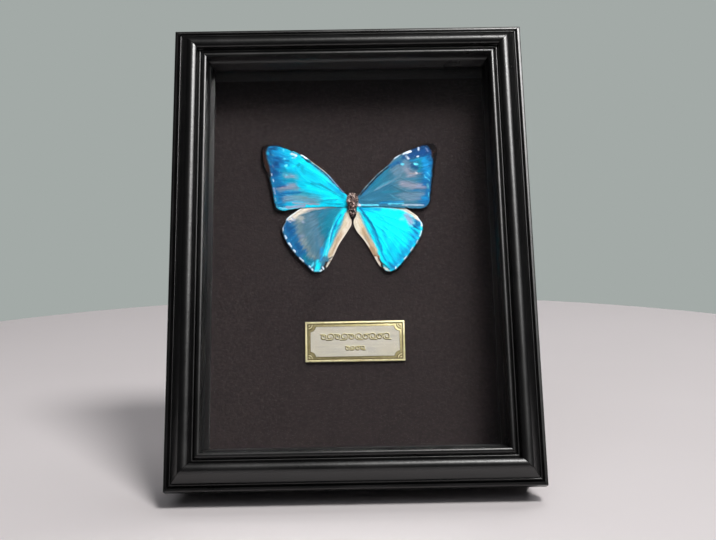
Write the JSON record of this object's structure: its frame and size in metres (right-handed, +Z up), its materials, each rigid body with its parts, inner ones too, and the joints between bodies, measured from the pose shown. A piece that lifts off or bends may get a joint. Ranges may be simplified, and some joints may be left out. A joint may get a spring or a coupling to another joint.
{
  "type": "framed butterfly specimen",
  "caption": "Blue butterfly with spread wings over a bare label plate, in a glazed black shadow-box frame leaning back on a folding easel strut.",
  "frame": {"origin": "middle of the footprint's bounding box, on the surface the frame stands on", "axes": "+Z up, +X to the right seen from the front, front facing -Y; the frame leans back 24 degrees towards +Y"},
  "size_m": [0.165, 0.117, 0.2075],
  "materials": {
    "black_moulding": "satin black paint",
    "glass": "clear, polished",
    "black_card": "matt",
    "backing_cloth": "fine matt weave, charcoal",
    "brown_board": "raw hardboard",
    "steel": "zinc-plated",
    "gilt_plate": "gilt rim, pale satin field",
    "insect_fur": "short brown hair",
    "blue_wing": "iridescent blue scales",
    "pale_blue_wing": "iridescent blue scales seen off their angle"
  },
  "bodies": {
    "frame": {"moulding_top": "black_moulding", "moulding_bottom": "black_moulding", "moulding_left": "black_moulding", "moulding_right": "black_moulding", "glass": "glass", "spacer_top": "black_card", "spacer_bottom": "black_card", "spacer_left": "black_card", "spacer_right": "black_card", "backing_board": "backing_cloth", "back_panel": "brown_board", "retaining_point_1": "steel", "retaining_point_2": "steel", "retaining_point_3": "steel", "retaining_point_4": "steel", "retaining_point_5": "steel", "retaining_point_6": "steel", "label_plate": "gilt_plate", "body": "insect_fur", "forewing_left": "blue_wing", "forewing_right": "pale_blue_wing", "hindwing_left": "pale_blue_wing", "hindwing_right": "blue_wing", "hinge_plate": "steel", "hinge_pin": "steel"},
    "strut": {"strut_leaf": "steel", "strut": "brown_board"}
  },
  "joints": [
    {"name": "strut_hinge", "type": "hinge", "parent": "frame", "child": "strut", "pos_m": [0, 0.03316, 0.1352], "axis": [1, 0, 0], "range_deg": [-32, 0]}
  ]
}
